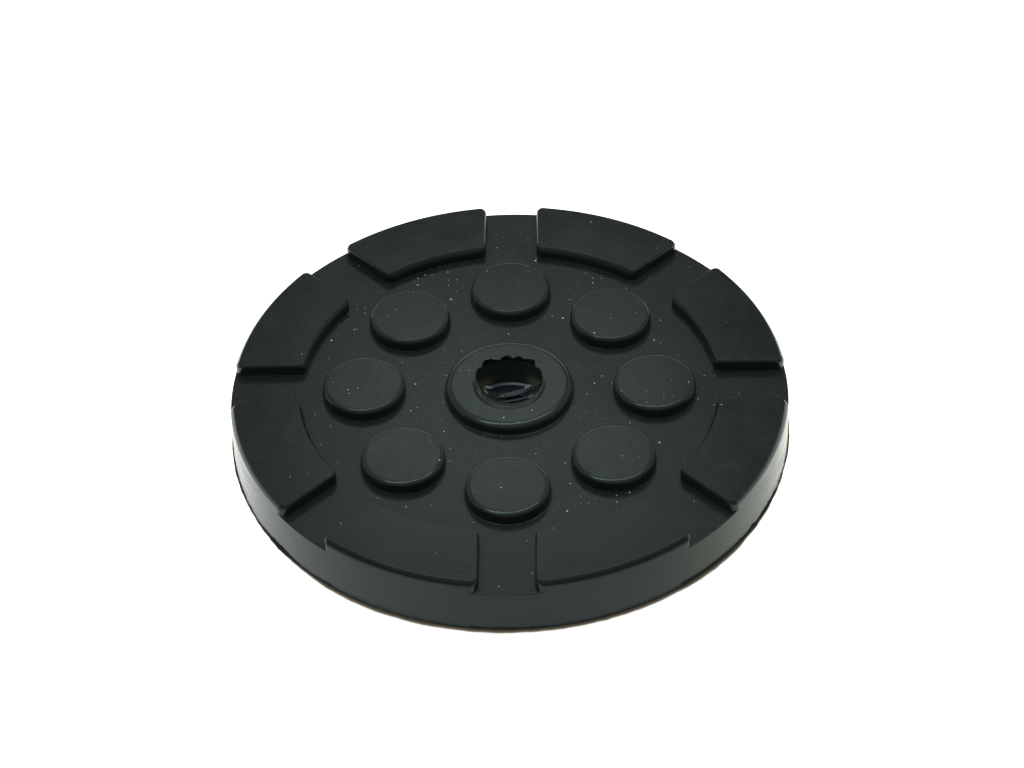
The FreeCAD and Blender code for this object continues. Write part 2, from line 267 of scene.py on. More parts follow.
def flutter(degrees, pace, seed):
    """Smooth uneven values from -1 to 1 round the pad, the same in every run."""
    spot = heading(degrees) * pace
    return noise.noise(Vector((spot.x, spot.y, seed)))


class Skin:
    """A closed skin made of rings of points."""

    def __init__(self):
        self.mesh = bmesh.new()

    def ring(self, points):
        return [self.mesh.verts.new(Vector(point) * MM) for point in points]

    def bridge(self, lower, upper):
        count = len(lower)
        for index in range(count):
            after = (index + 1) % count
            self.mesh.faces.new((lower[index], lower[after], upper[after], upper[index]))

    def stack(self, first, rings):
        """Bridge a ring through all the rings of points that follow, and return the last."""
        for points in rings:
            following = self.ring(points)
            self.bridge(first, following)
            first = following
        return first

    def cap(self, ring):
        self.mesh.faces.new(ring)

    def fill(self, *rings):
        """A flat face between rings, with the inner ones left open."""
        edges = []
        for ring in rings:
            for index, vertex in enumerate(ring):
                pair = (vertex, ring[(index + 1) % len(ring)])
                edges.append(self.mesh.edges.get(pair) or self.mesh.edges.new(pair))
        bmesh.ops.triangle_fill(self.mesh, use_beauty=True, edges=edges)

    def finish(self, name, sharp):
        """The piece, smooth apart from the edges that turn by more than the sharp angle."""
        bmesh.ops.recalc_face_normals(self.mesh, faces=self.mesh.faces)
        data = bpy.data.meshes.new(name)
        self.mesh.to_mesh(data)
        self.mesh.free()
        data.polygons.foreach_set("use_smooth", [True] * len(data.polygons))
        data.set_sharp_from_angle(angle=math.radians(sharp))
        piece = bpy.data.objects.new(name, data)
        bpy.context.scene.collection.objects.link(piece)
        weighted = piece.modifiers.new("Flat faces stay flat", "WEIGHTED_NORMAL")
        weighted.keep_sharp = True
        return piece


def tread_outline():
    """A tread's outline at the floor, centred on direction 0, and the direction of its outer corners.

    Each point comes with its outward direction and with the size of the worn edge over it.
    """
    half = STATION_TURN / 2
    offset = GAP_WIDTH / 2
    along = heading(half)
    across = Vector((along.y, -along.x))
    outer_run = math.sqrt(
        (RIM_RADIUS - TREAD_OUTER_CORNER) ** 2 - (offset + TREAD_OUTER_CORNER) ** 2)
    inner_run = math.sqrt(
        (TREAD_INNER_RADIUS + TREAD_INNER_CORNER) ** 2 - (offset + TREAD_INNER_CORNER) ** 2)
    outer_centre = along * outer_run + across * (offset + TREAD_OUTER_CORNER)
    inner_centre = along * inner_run + across * (offset + TREAD_INNER_CORNER)
    outer_turn = math.degrees(math.atan2(outer_centre.y, outer_centre.x))
    inner_turn = math.degrees(math.atan2(inner_centre.y, inner_centre.x))
    outline = []

    def arc(centre, radius, first, last, steps, sizes=(1, 1), side=1):
        for step in range(1, steps + 1):
            way = heading(blend(first, last, step / steps))
            outline.append((centre + way * radius, way * side, blend(*sizes, step / steps)))

    def straight(first, last, way):
        for step in range(1, SIDE_STEPS + 1):
            outline.append((first.lerp(last, step / SIDE_STEPS), way, FLANK_EDGE))

    centre = Vector((0, 0))
    flank = heading(half + 90)
    mirror = Matrix(((1, 0), (0, -1)))
    shrinking, growing = (1, FLANK_EDGE), (FLANK_EDGE, 1)
    outline.append((heading(-outer_turn) * RIM_RADIUS, heading(-outer_turn), 1))
    arc(centre, RIM_RADIUS, -outer_turn, outer_turn, RIM_STEPS)
    arc(outer_centre, TREAD_OUTER_CORNER, outer_turn, half + 90, CORNER_STEPS, shrinking)
    ends = (along * outer_run + across * offset, along * inner_run + across * offset)
    straight(*ends, flank)
    arc(inner_centre, TREAD_INNER_CORNER, half + 90, inner_turn + 180, CORNER_STEPS, growing)
    arc(centre, TREAD_INNER_RADIUS, inner_turn, -inner_turn, BACK_STEPS, side=-1)
    arc(mirror @ inner_centre, TREAD_INNER_CORNER, 180 - inner_turn, 270 - half, CORNER_STEPS, shrinking)
    straight(mirror @ ends[1], mirror @ ends[0], mirror @ flank)
    arc(mirror @ outer_centre, TREAD_OUTER_CORNER, -half - 90, -outer_turn, CORNER_STEPS, growing)
    outline.pop()
    return outline, outer_turn


def worn_edge(arcs):
    """The inset and rise of a worn edge's points, from the side up to the flat top."""
    path = [(0.0, 0.0)]
    for first, last, radius, steps in arcs:
        inset, rise = path[-1]
        start = math.radians(first)
        for step in range(1, steps + 1):
            lean = math.radians(blend(first, last, step / steps))
            path.append((inset + radius * (math.sin(start) - math.sin(lean)),
                         rise + radius * (math.cos(lean) - math.cos(start))))
    return path


def foot_share(point):
    """How much of the foot fillet there is room for between a point and the rim."""
    return clamp(ROOM_SHARE * (RIM_RADIUS - point.length) / FOOT_FILLET)


def rim_share(away):
    """How much of the rim's easing there is room for, at a distance from the tread's corner."""
    near = min(away, TREAD_OUTER_CORNER)
    room = TREAD_OUTER_CORNER - math.sqrt(TREAD_OUTER_CORNER ** 2 - near ** 2)
    return clamp(ROOM_SHARE * room / RIM_EASING)


def make_wall(skin, outer_turn):
    """The outer wall from the lip up to the floor's edge. Returns its foot, its top and the directions."""
    directions = []
    for station in range(STATIONS):
        middle = (station + 0.5) * STATION_TURN
        for step in range(RIM_STEPS + 1):
            directions.append((middle + blend(-outer_turn, outer_turn, step / RIM_STEPS), 0.0))
        gap = STATION_TURN - 2 * outer_turn
        for step in range(1, GAP_STEPS):
            from_corner = min(step, GAP_STEPS - step) / GAP_STEPS * gap
            away = math.radians(from_corner) * RIM_RADIUS
            directions.append((middle + outer_turn + gap * step / GAP_STEPS, rim_share(away)))

    def level(height):
        return [(*(heading(turn) * wall_radius(height)), height) for turn, _ in directions]

    def eased(step):
        swing = math.radians(90 * step / EDGE_STEPS)
        height = BASE_HEIGHT - RIM_EASING * (1 - math.sin(swing))
        points = []
        for turn, share in directions:
            radius = wall_radius(height) - share * RIM_EASING * (1 - math.cos(swing))
            points.append((*(heading(turn) * radius), height))
        return points

    foot = skin.ring(level(LIP_THICKNESS))
    rows = [level(height) for height in WALL_LEVELS]
    rows += [eased(step) for step in range(EDGE_STEPS + 1)]
    return foot, skin.stack(foot, rows), [turn for turn, _ in directions]


def make_treads(skin, outline, rim):
    """The eight treads on the rim. Returns the floor's outer boundary."""
    draft = math.tan(math.radians(WALL_DRAFT))
    edge = worn_edge(TREAD_EDGE)
    drop = edge[-1][1]
    per_station = RIM_STEPS + GAP_STEPS
    boundary = []
    for station in range(STATIONS):
        turned = Matrix.Rotation(math.radians((station + 0.5) * STATION_TURN), 2)

        def contour(height):
            inset = draft * (height - BASE_HEIGHT)
            return [(*(turned @ (point - out * inset)), height) for point, out, _ in outline]

        def eased(inset, rise):
            points = []
            for point, out, size in outline:
                shoulder = TREAD_TOP - size * drop
                spot = turned @ (point - out * (draft * (shoulder - BASE_HEIGHT) + size * inset))
                points.append((*spot, shoulder + size * rise))
            return points

        def flared(step):
            swing = math.radians(90 * step / FOOT_STEPS)
            height = BASE_HEIGHT + FOOT_FILLET * (1 - math.cos(swing))
            points = []
            for point, out, _ in outline:
                flare = FOOT_FILLET * (1 - math.sin(swing)) * foot_share(point)
                spot = turned @ (point + out * (flare - draft * (height - BASE_HEIGHT)))
                points.append((*spot, height))
            return points

        shared = rim[station * per_station:station * per_station + RIM_STEPS + 1]
        gap = rim[station * per_station + RIM_STEPS + 1:(station + 1) * per_station]
        foot = shared + skin.ring(flared(0)[RIM_STEPS + 1:])
        rows = [flared(step) for step in range(1, FOOT_STEPS + 1)]
        rows.append(contour(TREAD_LEVEL))
        rows += [eased(inset, rise) for inset, rise in edge]
        skin.cap(skin.stack(foot, rows))
        inward = [foot[0]] + foot[:RIM_STEPS:-1] + [foot[RIM_STEPS]]
        boundary += inward + gap
    return boundary


def raised_profile(foot, top, draft, edge):
    """Radius and height up a drafted round, from its foot fillet to the inside of its top edge."""
    lean = math.tan(math.radians(draft))
    eased = worn_edge(edge)
    drop = eased[-1][1]
    shoulder = foot - lean * (top - drop - BASE_HEIGHT)
    profile = []
    for step in range(FOOT_STEPS + 1):
        swing = math.radians(90 * step / FOOT_STEPS)
        rise = FOOT_FILLET * (1 - math.cos(swing))
        profile.append((foot + FOOT_FILLET * (1 - math.sin(swing)) - lean * rise, BASE_HEIGHT + rise))
    profile += [(shoulder - inset, top - drop + rise) for inset, rise in eased]
    return profile


def beaded(profile):
    """The same profile with the fine bead of flash that a mould's insert leaves round its foot."""
    foot = profile[0][0] + BEAD_GAP
    return [(foot + out * BEAD_WIDTH, BASE_HEIGHT + up * BEAD_HEIGHT) for out, up in BEAD_PROFILE] + profile


def circle(centre, radius, height, steps):
    points = []
    for step in range(steps):
        spot = centre + heading(360 * step / steps) * radius
        points.append((*spot, height))
    return points


def stud_edge(share):
    """A stud's worn edge, between the front stud's at 0 and the back stud's at 1."""
    edge = []
    for (first, last, front, steps), (_, _, back, _) in zip(FRONT_STUD_EDGE, BACK_STUD_EDGE):
        edge.append((first, last, blend(front, back, share), steps))
    return edge


def make_studs(skin):
    """The eight studs, a touch wider than the solid's. Returns their foot rings."""
    feet = []
    for station in range(STATIONS):
        way = heading(station * STATION_TURN)
        centre = way * STUD_RING_RADIUS
        edge = stud_edge(0.5 + 0.5 * way.y)
        profile = raised_profile(STUD_FOOT_RADIUS + STUD_SPREAD, STUD_TOP, STUD_DRAFT, edge)
        path = beaded(profile) if station == FRONT_STUD else profile
        rows = [circle(centre, radius, height, STUD_STEPS) for radius, height in path]
        foot = skin.ring(rows[0])
        skin.cap(skin.stack(foot, rows[1:]))
        feet.append(foot)
    return feet


def around(points, degrees):
    """The value in a direction, straight between the named points, which cover the whole turn."""
    turn = (degrees - points[0][0]) % 360 + points[0][0]
    for (first, value), (last, value_after) in zip(points, points[1:]):
        if first <= turn <= last:
            return blend(value, value_after, (turn - first) / (last - first))
    return points[-1][1]


def skin_left(degrees):
    """The share of the skin that is left in a direction."""
    return around(TORN_EDGE, degrees)


def torn_radius(degrees):
    """The ragged edge: the tears with fine jags, which are slight along the front arc."""
    share = skin_left(degrees)
    jag = TORN_JAG if share < WHOLE_SKIN else WHOLE_JAG
    wander = flutter(degrees, pace=9.0, seed=3.0) + 0.6 * flutter(degrees, pace=22.0, seed=5.0)
    return RECESS_RADIUS - share * FLASH_REACH + jag * wander


def seam_radius(degrees):
    """The seam round the skin, whose centre lies a little in front of the hole's."""
    return SEAM_RADIUS - SEAM_SHIFT * heading(degrees).y


def sunk(degrees):
    """How far the skin still lies below the boss: most in front, where it is wide, and not at a notch."""
    forward = clamp(0.4 - 0.9 * heading(degrees).y)
    width = seam_radius(degrees) - torn_radius(degrees)
    return SEAM_DEPTH * forward * clamp(width / SEAM_FADE)


def tip_curl(degrees):
    """How far the torn tips stand up."""
    share = skin_left(degrees)
    if share >= WHOLE_SKIN:
        return 0.0
    return TIP_CURL * share * (0.4 + flutter(degrees, pace=6.0, seed=8.0))


def make_boss(skin):
    """The boss, its torn mouth, the recess and the screw's hole. Returns the foot and the hole's end."""
    directions = [360 * step / BOSS_STEPS for step in range(BOSS_STEPS)]

    def ring_of(radius_at, height_at):
        return [(*(heading(turn) * radius_at(turn)), height_at(turn)) for turn in directions]

    def plain(radius, height):
        return ring_of(lambda turn: radius, lambda turn: height)

    profile = beaded(raised_profile(BOSS_FOOT_RADIUS, BOSS_TOP, BOSS_DRAFT, BOSS_EDGE))
    foot = skin.ring(plain(*profile[0]))
    rows = [plain(radius, height) for radius, height in profile[1:]]
    rows.append(plain(BOSS_MIDWAY, BOSS_TOP))
    for seam, gap, depth in SEAM_PROFILE:
        rows.append(ring_of(lambda turn: max(seam_radius(turn) + seam, torn_radius(turn) + gap),
                            lambda turn: BOSS_TOP - depth * sunk(turn)))
    for gap, drop in TORN_ROUNDING:
        rows.append(ring_of(lambda turn: torn_radius(turn) + gap,
                            lambda turn: BOSS_TOP - sunk(turn) - drop + tip_curl(turn)))
    ceiling = BOSS_TOP - FLASH_DROP - FLASH_THICKNESS
    inset, rise = UNDERSIDE_BEVEL
    rows.append(ring_of(lambda turn: torn_radius(turn) + inset, lambda turn: ceiling + rise))
    rows.append(ring_of(lambda turn: max(RECESS_RADIUS, torn_radius(turn) + CEILING_GAP),
                        lambda turn: ceiling - CEILING_SAG))
    rows.append(plain(RECESS_RADIUS, ceiling - CEILING_CORNER))
    rows.append(plain(RECESS_RADIUS, RECESS_MIDWAY))
    rows += [plain(radius, height) for radius, height in LEDGE_SLOPE]
    rows.append(plain(SCREW_HOLE_RADIUS + HOLE_CHAMFER, RECESS_FLOOR))
    for height in (RECESS_FLOOR - HOLE_CHAMFER, RECESS_FLOOR / 2, 0.0):
        rows.append(plain(SCREW_HOLE_RADIUS, height))
    return foot, skin.stack(foot, rows)


def flash_reach(degrees):
    """How far the film of flash at the foot stands out from the wall."""
    reach = around(FOOT_EDGE, degrees)
    ragged = 0.30 * flutter(degrees, pace=14.0, seed=12.0) + 0.35 * flutter(degrees, pace=60.0, seed=14.0)
    return max(LEAST_FILM, reach * (1 + ragged))


def make_foot(skin, foot, directions, hole):
    """The thin film of flash round the foot, and the flat underside."""
    rows = []
    for share, height in FOOT_PROFILE:
        points = []
        for turn in directions:
            radius = wall_radius(LIP_THICKNESS) + share * flash_reach(turn)
            points.append((*(heading(turn) * radius), height))
        rows.append(points)
    skin.fill(skin.stack(foot, rows), hole)


def make_rag(name, path, lean):
    """A rag of torn skin along a path of points with half widths. Its right-hand edge hangs by the lean."""
    skin = Skin()
    rings = []
    for index, (x, y, z, half) in enumerate(path):
        before, after = path[max(index - 1, 0)], path[min(index + 1, len(path) - 1)]
        run = Vector((after[0] - before[0], after[1] - before[1])).normalized()
        side = Vector((-run.y, run.x)) * half
        hang = half * math.tan(math.radians(lean))
        ring = []
        for sign, drop in ((1, 0), (-1, 0), (-1, RAG_THICKNESS), (1, RAG_THICKNESS)):
            ring.append((x + sign * side.x, y + sign * side.y, z + sign * hang - drop))
        rings.append(ring)
    first = skin.ring(rings[0])
    last = skin.stack(first, rings[1:])
    skin.cap(first)
    skin.cap(last)
    piece = skin.finish(name, sharp=40)
    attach(piece, "root")
    return piece


def make_pad():
    """The whole moulding as one closed skin."""
    skin = Skin()
    outline, outer_turn = tread_outline()
    foot, rim, directions = make_wall(skin, outer_turn)
    boundary = make_treads(skin, outline, rim)
    studs = make_studs(skin)
    boss, hole = make_boss(skin)
    skin.fill(boundary, boss, *studs)
    make_foot(skin, foot, directions, hole)
    pad = skin.finish("pad_moulding", sharp=50)
    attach(pad, "root")
    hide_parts(NODE)
    return pad


class Nodes:
    """Short calls for a node tree: a value that is a socket is linked, anything else is set."""

    def __init__(self, owner):
        owner.use_nodes = True
        self.tree = owner.node_tree
        self.tree.nodes.clear()

    def add(self, kind, settings=None, **inputs):
        node = self.tree.nodes.new(kind)
        for name, value in (settings or {}).items():
            setattr(node, name, value)
        for name, value in inputs.items():
            self.put(node.inputs[name.replace("_", " ")], value)
        return node

    def put(self, socket, value):
        if isinstance(value, bpy.types.NodeSocket):
            self.tree.links.new(value, socket)
        else:
            socket.default_value = value

    def math(self, operation, *values):
        node = self.add("ShaderNodeMath", {"operation": operation})
        for socket, value in zip(node.inputs, values):
            self.put(socket, value)
        return node.outputs[0]

    def vector(self, operation, *values):
        node = self.add("ShaderNodeVectorMath", {"operation": operation})
        for socket, value in zip(node.inputs, values):
            self.put(socket, value)
        return node.outputs[0]

    def chain(self, operation, first, *others):
        """The same operation with one value after the other."""
        for value in others:
            first = self.math(operation, first, value)
        return first

    def total(self, *values):
        return self.chain("ADD", *values)

    def product(self, *values):
        return self.chain("MULTIPLY", *values)

    def largest(self, *values):
        return self.chain("MAXIMUM", *values)

    def length(self, vector):
        return self.add("ShaderNodeVectorMath", {"operation": "LENGTH"}, Vector=vector).outputs["Value"]

    def split(self, vector):
        return self.add("ShaderNodeSeparateXYZ", Vector=vector).outputs

    def fit(self, value, low, high, to_low=0.0, to_high=1.0):
        """The value's range brought smoothly to another range, and held within it."""
        node = self.add("ShaderNodeMapRange", {"interpolation_type": "SMOOTHSTEP"})
        for socket, number in zip(node.inputs, (value, low, high, to_low, to_high)):
            self.put(socket, number)
        return node.outputs[0]

    def mix(self, share, first, last):
        node = self.add("ShaderNodeMix", {"data_type": "RGBA"})
        self.put(node.inputs[0], share)
        self.put(node.inputs[6], first)
        self.put(node.inputs[7], last)
        return node.outputs[2]

    def noise(self, place, size, detail=2.0, roughness=0.5):
        """Noise whose features are about the given size in millimetres."""
        scale = 1 / (size * MM)
        node = self.add("ShaderNodeTexNoise", Vector=place, Scale=scale, Detail=detail, Roughness=roughness)
        return node.outputs[0]

    def bump(self, height, depth, normal=None):
        """A bump whose full height is the given depth in millimetres."""
        node = self.add("ShaderNodeBump", Strength=1.0, Distance=depth * MM, Height=height)
        if normal is not None:
            self.put(node.inputs["Normal"], normal)
        return node.outputs[0]


def surface_of(nodes):
    """The places of a surface point, and how far it belongs to the parts of the pad, from 0 to 1."""
    place = nodes.add("ShaderNodeTexCoord").outputs["Object"]
    across, forward, height = nodes.split(place)
    flat = nodes.add("ShaderNodeCombineXYZ", X=across, Y=forward).outputs[0]
    away = nodes.length(flat)
    steepness = nodes.split(nodes.add("ShaderNodeNewGeometry").outputs["Normal"])[2]
    near_rim = nodes.math("GREATER_THAN", away, (RIM_RADIUS - 1.0) * MM)
    near_hole = nodes.math("LESS_THAN", away, (RECESS_RADIUS + 0.2) * MM)
    return SimpleNamespace(
        place=place, across=across, forward=forward, height=height, flat=flat, away=away,
        upward=nodes.fit(steepness, 0.90, 0.99),
        on_wall=nodes.product(near_rim, nodes.fit(steepness, 0.5, 0.1)),
        on_floor=nodes.fit(height, (BASE_HEIGHT + 0.6) * MM, (BASE_HEIGHT + 0.1) * MM),
        in_recess=nodes.product(near_hole, nodes.math("LESS_THAN", height, (BASE_HEIGHT + 1.2) * MM)),
    )


def wall_noise(nodes, at, stretch, size, roughness):
    """Noise on the unrolled wall, drawn out along it."""
    turn = nodes.product(nodes.math("ARCTAN2", at.forward, at.across), RIM_RADIUS * MM)
    unrolled = nodes.add("ShaderNodeCombineXYZ", X=nodes.product(turn, stretch), Y=at.height).outputs[0]
    return nodes.noise(unrolled, size, detail=5.0, roughness=roughness)


def lint_layer(nodes, at, patches, cell, seed, kept, smallest, largest):
    """White specks of lint, one to a cell at most, and more of them where the patches are strong."""
    moved = nodes.vector("ADD", at.flat, (seed, seed * 0.7, 0.0))
    scale = 1 / (cell * MM)
    cells = nodes.add("ShaderNodeTexVoronoi", {"voronoi_dimensions": "2D"}, Vector=moved, Scale=scale)
    chance = nodes.add("ShaderNodeSeparateColor", Color=cells.outputs["Color"])
    size = nodes.fit(nodes.math("POWER", chance.outputs[1], 3.0), 0.0, 1.0, smallest / cell, largest / cell)
    inner = nodes.product(size, 0.7)
    spot = nodes.math("SUBTRACT", 1.0, nodes.fit(cells.outputs["Distance"], inner, size))
    present = nodes.math("LESS_THAN", chance.outputs[0], nodes.product(patches, kept))
    return nodes.product(spot, present)


def lint(nodes, at):
    """Fine and coarse specks on what faces up, in patches, and fewer on the rim and on the raised tops."""
    patches = nodes.product(
        nodes.fit(nodes.noise(at.flat, 16.0), 0.35, 0.65, 0.25, 1.0),
        nodes.fit(at.away, 54.0 * MM, 60.0 * MM, 1.0, 0.25),
        nodes.fit(at.height, 13.0 * MM, 14.0 * MM, 1.0, 0.45),
    )
    fine = lint_layer(nodes, at, patches, cell=2.2, seed=0.31, kept=0.35, smallest=0.05, largest=0.13)
    coarse = lint_layer(nodes, at, patches, cell=8.0, seed=0.77, kept=0.38, smallest=0.16, largest=0.26)
    return nodes.product(nodes.largest(fine, coarse), at.upward)


def marks_of(nodes, at):
    """The patterns on the rubber: mottling, speckles, a film of dirt, streaks, scuffs, wear and lint."""
    smears = nodes.fit(nodes.noise(at.place, 7.0, detail=6.0, roughness=0.65), 0.48, 0.78)
    scuffs = wall_noise(nodes, at, stretch=0.4, size=4.5, roughness=0.7)
    return SimpleNamespace(
        mottle=nodes.noise(at.place, 14.0, detail=4.0, roughness=0.6),
        speckle=nodes.noise(at.place, 1.5, detail=3.0, roughness=0.7),
        film=nodes.product(smears, nodes.fit(nodes.noise(at.place, 45.0), 0.35, 0.7)),
        streaks=wall_noise(nodes, at, stretch=0.12, size=1.6, roughness=0.6),
        scuffs=scuffs,
        worn=nodes.product(at.on_wall, nodes.fit(scuffs, 0.45, 0.75)),
        specks=lint(nodes, at),
    )


def moulded_colour(nodes, at, marks):
    """Near black with faint mottling, light and dark speckles, a thin film of dirt, and scuffs."""
    colour = nodes.mix(nodes.fit(marks.mottle, 0.3, 0.7), RUBBER_DARK, RUBBER_LIGHT)
    colour = nodes.mix(nodes.fit(marks.speckle, 0.62, 0.80, 0.0, 0.5), colour, SPECKLE_LIGHT)
    colour = nodes.mix(nodes.fit(marks.speckle, 0.38, 0.22, 0.0, 0.6), colour, SPECKLE_DARK)
    dirt = nodes.mix(nodes.fit(nodes.noise(at.place, 30.0, detail=3.0), 0.4, 0.6), DIRT_COOL, DIRT_WARM)
    colour = nodes.mix(nodes.product(marks.film, 0.04), colour, dirt)
    return nodes.mix(nodes.product(marks.worn, 0.20), colour, SCUFF)


def recess_colour(nodes, at, colour):
    """The given colour, and in the recess a bluish dark ledge, lighter sides, a painted olive glow left and
    right, and a painted highlight behind the hole.
    """
    # Bluish dark on the ledge and in the hole, lighter grey up the recess's sides.
    recess_tone = nodes.mix(nodes.fit(at.height, 5.5 * MM, 6.2 * MM), RECESS_LEDGE_TONE, RECESS_SIDE_TONE)
    # Painted olive glow of reflected light, low on the recess's sides to the left and right.
    painted_olive_share = nodes.product(
        nodes.fit(at.height, 10.0 * MM, 6.4 * MM),
        nodes.fit(at.height, 5.5 * MM, 6.0 * MM),
        nodes.fit(nodes.math("ABSOLUTE", at.across), 3.0 * MM, 7.0 * MM),
    )
    colour = nodes.mix(at.in_recess, colour, nodes.mix(painted_olive_share, recess_tone, PAINTED_OLIVE_GLOW))
    # Painted highlight: a bluish crescent on the ledge behind the hole.
    ledge_glint = nodes.product(
        nodes.fit(at.away, 9.75 * MM, 9.95 * MM),
        nodes.fit(at.height, 5.6 * MM, 5.3 * MM),
        nodes.fit(at.forward, 8.0 * MM, 8.8 * MM),
        at.in_recess,
    )
    return nodes.mix(ledge_glint, colour, PAINTED_LEDGE_GLINT)


def rubber_roughness(nodes, at, marks, matt):
    """Satin on the moulded faces, duller on the floor, most of all behind the boss and to its right."""
    behind = nodes.total(nodes.product(at.across, 0.75), nodes.product(at.forward, 0.66))
    dusty = nodes.product(nodes.fit(behind, 7.0 * MM, 18.0 * MM), nodes.fit(at.away, 36.0 * MM, 26.0 * MM))
    floor_dust = nodes.total(nodes.product(dusty, 0.04), 0.045)
    return nodes.total(
        nodes.fit(marks.mottle, 0.25, 0.75, 0.19, 0.23),
        nodes.product(marks.film, 0.05),
        nodes.fit(marks.speckle, 0.3, 0.7, -0.02, 0.02),
        nodes.product(at.on_wall, nodes.fit(marks.streaks, 0.35, 0.65, -0.04, 0.03)),
        nodes.product(marks.worn, 0.08),
        nodes.product(floor_dust, nodes.product(at.on_floor, at.upward)),
        0.3 * matt,
        nodes.product(marks.specks, 0.4),
    )


def rubber_normal(nodes, at, marks):
    """Long shallow waves, the marks on the wall, a fine grain and the specks' own height."""
    waves = nodes.noise(at.place, 9.0)
    on_wall = nodes.product(nodes.total(marks.streaks, marks.scuffs), at.on_wall)
    grain = nodes.noise(at.place, 0.35, detail=3.0, roughness=0.6)
    normal = None
    for pattern, depth in ((waves, 0.035), (on_wall, 0.012), (grain, 0.004), (marks.specks, 0.02)):
        normal = nodes.bump(pattern, depth, normal)
    return normal


def rubber_material(name, matt=0.0):
    """Black rubber: the satin skin of the mould, or with matt at 1 the dull rubber of a break, with painted
    shade in its darker colour.
    """
    material = bpy.data.materials.new(name)
    nodes = Nodes(material)
    at = surface_of(nodes)
    marks = marks_of(nodes, at)
    if matt:
        # The flaps' colour is darker than the moulded rubber: painted shade of the mouth.
        colour = nodes.mix(nodes.fit(marks.speckle, 0.35, 0.65), SHADED_FLAP_DARK, SHADED_FLAP_LIGHT)
    else:
        colour = recess_colour(nodes, at, moulded_colour(nodes, at, marks))
        colour = nodes.mix(marks.specks, colour, LINT)
    # Painted reflection tint: cool everywhere for the colour of the room's light, and olive in patches on
    # the floor for olive shade near the raised parts.
    painted_olive_share = nodes.product(nodes.fit(nodes.noise(at.place, 22.0), 0.42, 0.62), at.on_floor)
    shader = nodes.add(
        "ShaderNodeBsdfPrincipled",
        Base_Color=colour,
        Roughness=rubber_roughness(nodes, at, marks, matt),
        Normal=rubber_normal(nodes, at, marks),
        IOR=1.45,
        Specular_IOR_Level=0.5 - 0.42 * matt,
        Specular_Tint=nodes.mix(painted_olive_share, REFLECTION_TINT_COOL, REFLECTION_TINT_OLIVE),
    )
    nodes.add("ShaderNodeOutputMaterial", Surface=shader.outputs[0])
    return material


def floor_material():
    """White where it is looked at, a brown painted shade close to the pad's foot, and a dark painted shade
    under the pad, seen in the screw's hole.
    """
    material = bpy.data.materials.new("studio_floor")
    nodes = Nodes(material)
    place = nodes.add("ShaderNodeTexCoord").outputs["Object"]
    away = nodes.length(place)
    across, forward, _ = nodes.split(place)
    # Under the pad the floor is painted dark, as the shade seen through the screw's hole.
    beside = nodes.math("GREATER_THAN", away, 0.9 * RIM_RADIUS * MM)
    path = nodes.add("ShaderNodeLightPath").outputs

    # The shade is at its widest in front, and a quarter of that from a little in front of the middle on.
    wander = nodes.fit(nodes.noise(place, 5.0, detail=3.0), 0.3, 0.7, -0.1 * MM, 0.1 * MM)
    rearward = nodes.math("SUBTRACT", forward, nodes.product(across, 0.1))
    beyond = nodes.total(nodes.math("SUBTRACT", away, SHADE_START * MM), wander)
    beyond = nodes.product(beyond, nodes.fit(rearward, -60 * MM, -20 * MM, 1.0, 4.0))
    beyond = nodes.total(beyond, nodes.product(path["Is Glossy Ray"], MIRRORED_SHIFT * MM))
    shade = nodes.add("ShaderNodeValToRGB", Fac=nodes.math("DIVIDE", beyond, SHADE_WIDTH * MM))
    ramp = shade.color_ramp
    ramp.elements[0].position, ramp.elements[0].color = FOOT_SHADE[0]
    ramp.elements[1].position, ramp.elements[1].color = FOOT_SHADE[-1]
    for position, brown in FOOT_SHADE[1:-1]:
        ramp.elements.new(position).color = brown

    # Painted reflection: to the rubber's reflections the floor glows brighter towards the back, and warm
    # except at the front.
    fore_and_aft = nodes.product(
        nodes.fit(forward, -75 * MM, 0.0, 0.85, 1.75), nodes.fit(across, -5 * MM, -32 * MM, 1.0, 1.09))
    brightness = nodes.product(beside, nodes.largest(fore_and_aft, path["Is Camera Ray"]))
    eastward = nodes.fit(nodes.total(forward, nodes.product(across, 0.4)), -65 * MM, -35 * MM)
    mirrored_tint = nodes.mix(nodes.product(eastward, path["Is Glossy Ray"]), WHITE, MIRRORED_FLOOR_TINT)
    tone = nodes.vector("MULTIPLY", shade.outputs[0], mirrored_tint)
    glow = nodes.add("ShaderNodeEmission", Color=tone, Strength=brightness)
    soft = nodes.add("ShaderNodeBsdfDiffuse", Color=nodes.mix(beside, FLOOR_SHADE_UNDER_PAD, FLOOR_SOFT))
    looked_at = nodes.add("ShaderNodeAddShader")
    nodes.put(looked_at.inputs[0], glow.outputs[0])
    nodes.put(looked_at.inputs[1], soft.outputs[0])

    # The camera, reflections and glass see the glow, and every other ray sees plain paper.
    plain = nodes.add("ShaderNodeBsdfDiffuse", Color=nodes.mix(beside, FLOOR_SHADE_UNDER_PAD, FLOOR_PAPER))
    seen = nodes.largest(path["Is Camera Ray"], path["Is Glossy Ray"], path["Is Transmission Ray"])
    choice = nodes.add("ShaderNodeMixShader", Fac=seen)
    nodes.put(choice.inputs[1], plain.outputs[0])
    nodes.put(choice.inputs[2], looked_at.outputs[0])
    nodes.add("ShaderNodeOutputMaterial", Surface=choice.outputs[0])
    return material


def make_floor():
    half = 4.0
    corners = [(-half, -half, 0), (half, -half, 0), (half, half, 0), (-half, half, 0)]
    data = bpy.data.meshes.new("floor")
    data.from_pydata(corners, [], [(0, 1, 2, 3)])
    floor = bpy.data.objects.new("floor", data)
    bpy.context.scene.collection.objects.link(floor)
    data.materials.append(floor_material())


